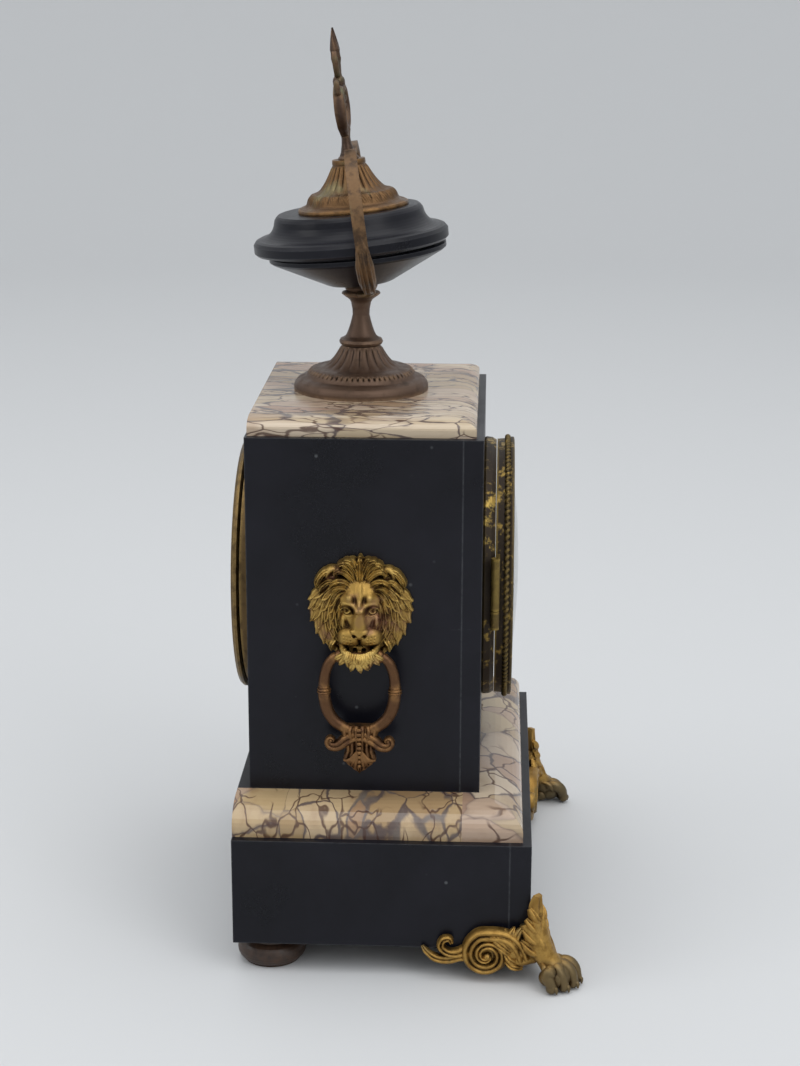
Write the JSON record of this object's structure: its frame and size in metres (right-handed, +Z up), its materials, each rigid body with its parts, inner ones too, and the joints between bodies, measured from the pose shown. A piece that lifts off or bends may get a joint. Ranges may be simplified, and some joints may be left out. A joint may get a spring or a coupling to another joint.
{
  "type": "mantel clock",
  "caption": "Black slate mantel clock with marble mouldings, lion masks with hinged rings, paw feet and a tall urn with scroll handles on top.",
  "frame": {"origin": "centre of the whole clock's box, on the surface that it stands on", "axes": "+Z up; the dial faces -Y; width along X"},
  "size_m": [0.2534, 0.1734, 0.4426],
  "materials": {
    "slate": "polished black slate with pale scuffs",
    "marble": "polished cream breccia marble with grey and brown veins",
    "gilt_bronze": "worn gilding over cast bronze",
    "patinated_bronze": "dark brown patina over cast bronze",
    "brass_case": "tarnished brass with remains of gilding",
    "movement_brass": "lacquered brass",
    "bell_metal": "grey tinned bell metal",
    "steel": "plain steel",
    "blued_steel": "dark blued steel",
    "enamel": "cream enamel with black numerals",
    "glass": "clear domed glass",
    "wood": "dark stained turned wood"
  },
  "bodies": {
    "case": {"base_front_slab": "slate", "base_left_slab": "slate", "base_right_slab": "slate", "base_back_slab": "slate", "base_top_slab": "slate", "base_board": "wood", "step_marble_front": "marble", "step_marble_left": "marble", "step_marble_right": "marble", "body_front_slab": "slate", "body_left_slab": "slate", "body_right_slab": "slate", "body_back_slab": "slate", "body_top_slab": "slate", "top_marble_slab": "marble", "lion_mask_left": "gilt_bronze", "lion_mask_right": "gilt_bronze", "paw_foot_left": "gilt_bronze", "paw_foot_right": "gilt_bronze", "bun_foot_left": "wood", "bun_foot_right": "wood", "urn_foot": "patinated_bronze", "urn_stem": "patinated_bronze", "urn_bowl": "slate", "urn_dish": "slate", "urn_cap": "gilt_bronze", "urn_finial": "patinated_bronze", "urn_handle_left": "patinated_bronze", "urn_handle_right": "patinated_bronze", "urn_tie_rod": "steel", "bezel_ring": "brass_case", "bezel_hinge_pin": "steel", "dial": "enamel", "front_plate": "movement_brass", "back_plate": "movement_brass", "plate_pillars": "movement_brass", "mounting_straps": "movement_brass", "bell": "bell_metal", "suspension_cock": "movement_brass", "back_ring": "brass_case"},
    "front_door": {"bezel_door": "brass_case", "bezel_glass": "glass"},
    "back_cover": {"back_door": "brass_case"},
    "left_ring": {"ring_handle_left": "gilt_bronze"},
    "right_ring": {"ring_handle_right": "gilt_bronze"},
    "centre_arbor": {"centre_wheel": "movement_brass", "cannon_pinion": "movement_brass", "minute_hand": "blued_steel"},
    "minute_arbor": {"minute_wheel": "movement_brass"},
    "hour_pipe": {"hour_wheel": "movement_brass", "hour_hand": "blued_steel"},
    "intermediate_arbor": {"intermediate_wheel": "movement_brass"},
    "going_barrel": {"going_barrel": "movement_brass"},
    "third_arbor": {"third_wheel": "movement_brass"},
    "escape_arbor": {"escape_wheel": "movement_brass"},
    "strike_barrel": {"strike_barrel": "movement_brass"},
    "pin_wheel_arbor": {"pin_wheel": "movement_brass"},
    "hammer_arbor": {"hammer": "steel"},
    "pendulum": {"pendulum": "movement_brass"},
    "anchor_arbor": {"anchor": "steel"}
  },
  "joints": [
    {"name": "front_door_hinge", "type": "hinge", "parent": "case", "child": "front_door", "pos_m": [-0.068, -0.04095, 0.1764], "axis": [0, 0, 1], "range_deg": [-110, 0]},
    {"name": "back_cover_hinge", "type": "hinge", "parent": "case", "child": "back_cover", "pos_m": [0.0661, 0.08325, 0.1764], "axis": [0, 0, 1], "range_deg": [-100, 0]},
    {"name": "left_ring_swing", "type": "hinge", "parent": "case", "child": "left_ring", "pos_m": [-0.089, 0.02275, 0.1567], "axis": [0, 1, 0], "range_deg": [-8, 80]},
    {"name": "right_ring_swing", "type": "hinge", "parent": "case", "child": "right_ring", "pos_m": [0.089, 0.02275, 0.1567], "axis": [0, 1, 0], "range_deg": [-80, 8]},
    {"name": "centre_arbor_spin", "type": "hinge", "parent": "case", "child": "centre_arbor", "pos_m": [0, -0.03475, 0.1764], "axis": [0, 1, 0], "continuous": true},
    {"name": "minute_arbor_spin", "type": "hinge", "parent": "case", "child": "minute_arbor", "pos_m": [0, -0.03475, 0.162], "axis": [0, 1, 0], "continuous": true},
    {"name": "hour_pipe_spin", "type": "hinge", "parent": "case", "child": "hour_pipe", "pos_m": [0, -0.03475, 0.1764], "axis": [0, 1, 0], "continuous": true},
    {"name": "intermediate_spin", "type": "hinge", "parent": "case", "child": "intermediate_arbor", "pos_m": [0.01849, -0.03475, 0.18636], "axis": [0, 1, 0], "continuous": true},
    {"name": "going_barrel_spin", "type": "hinge", "parent": "case", "child": "going_barrel", "pos_m": [0.021, -0.03475, 0.1634], "axis": [0, 1, 0], "continuous": true},
    {"name": "third_arbor_spin", "type": "hinge", "parent": "case", "child": "third_arbor", "pos_m": [0, -0.03475, 0.1964], "axis": [0, 1, 0], "continuous": true},
    {"name": "escape_arbor_spin", "type": "hinge", "parent": "case", "child": "escape_arbor", "pos_m": [0, -0.03475, 0.2109], "axis": [0, 1, 0], "continuous": true},
    {"name": "strike_barrel_spin", "type": "hinge", "parent": "case", "child": "strike_barrel", "pos_m": [-0.021, -0.03475, 0.1634], "axis": [0, 1, 0], "continuous": true},
    {"name": "pin_wheel_spin", "type": "hinge", "parent": "case", "child": "pin_wheel_arbor", "pos_m": [-0.01849, -0.03475, 0.18636], "axis": [0, 1, 0], "continuous": true},
    {"name": "hammer_lift", "type": "hinge", "parent": "case", "child": "hammer_arbor", "pos_m": [-0.044, -0.03475, 0.1844], "axis": [0, 1, 0], "range_deg": [-25, 5]},
    {"name": "pendulum_swing", "type": "hinge", "parent": "case", "child": "pendulum", "pos_m": [0, 0.01065, 0.2224], "axis": [0, 1, 0], "range_deg": [-4, 4]},
    {"name": "anchor_rock", "type": "hinge", "parent": "case", "child": "anchor_arbor", "pos_m": [0, 0.01065, 0.2209], "axis": [0, 1, 0], "range_deg": [-4, 4]}
  ],
  "couplings": [
    {"joint": "minute_arbor_spin", "follows": "centre_arbor_spin", "ratio": -0.33333},
    {"joint": "hour_pipe_spin", "follows": "centre_arbor_spin", "ratio": 0.083333},
    {"joint": "intermediate_spin", "follows": "centre_arbor_spin", "ratio": -0.16667},
    {"joint": "going_barrel_spin", "follows": "centre_arbor_spin", "ratio": 0.027778},
    {"joint": "third_arbor_spin", "follows": "centre_arbor_spin", "ratio": -7},
    {"joint": "escape_arbor_spin", "follows": "centre_arbor_spin", "ratio": 33.6},
    {"joint": "pin_wheel_spin", "follows": "strike_barrel_spin", "ratio": -6},
    {"joint": "anchor_rock", "follows": "pendulum_swing", "ratio": 1}
  ]
}
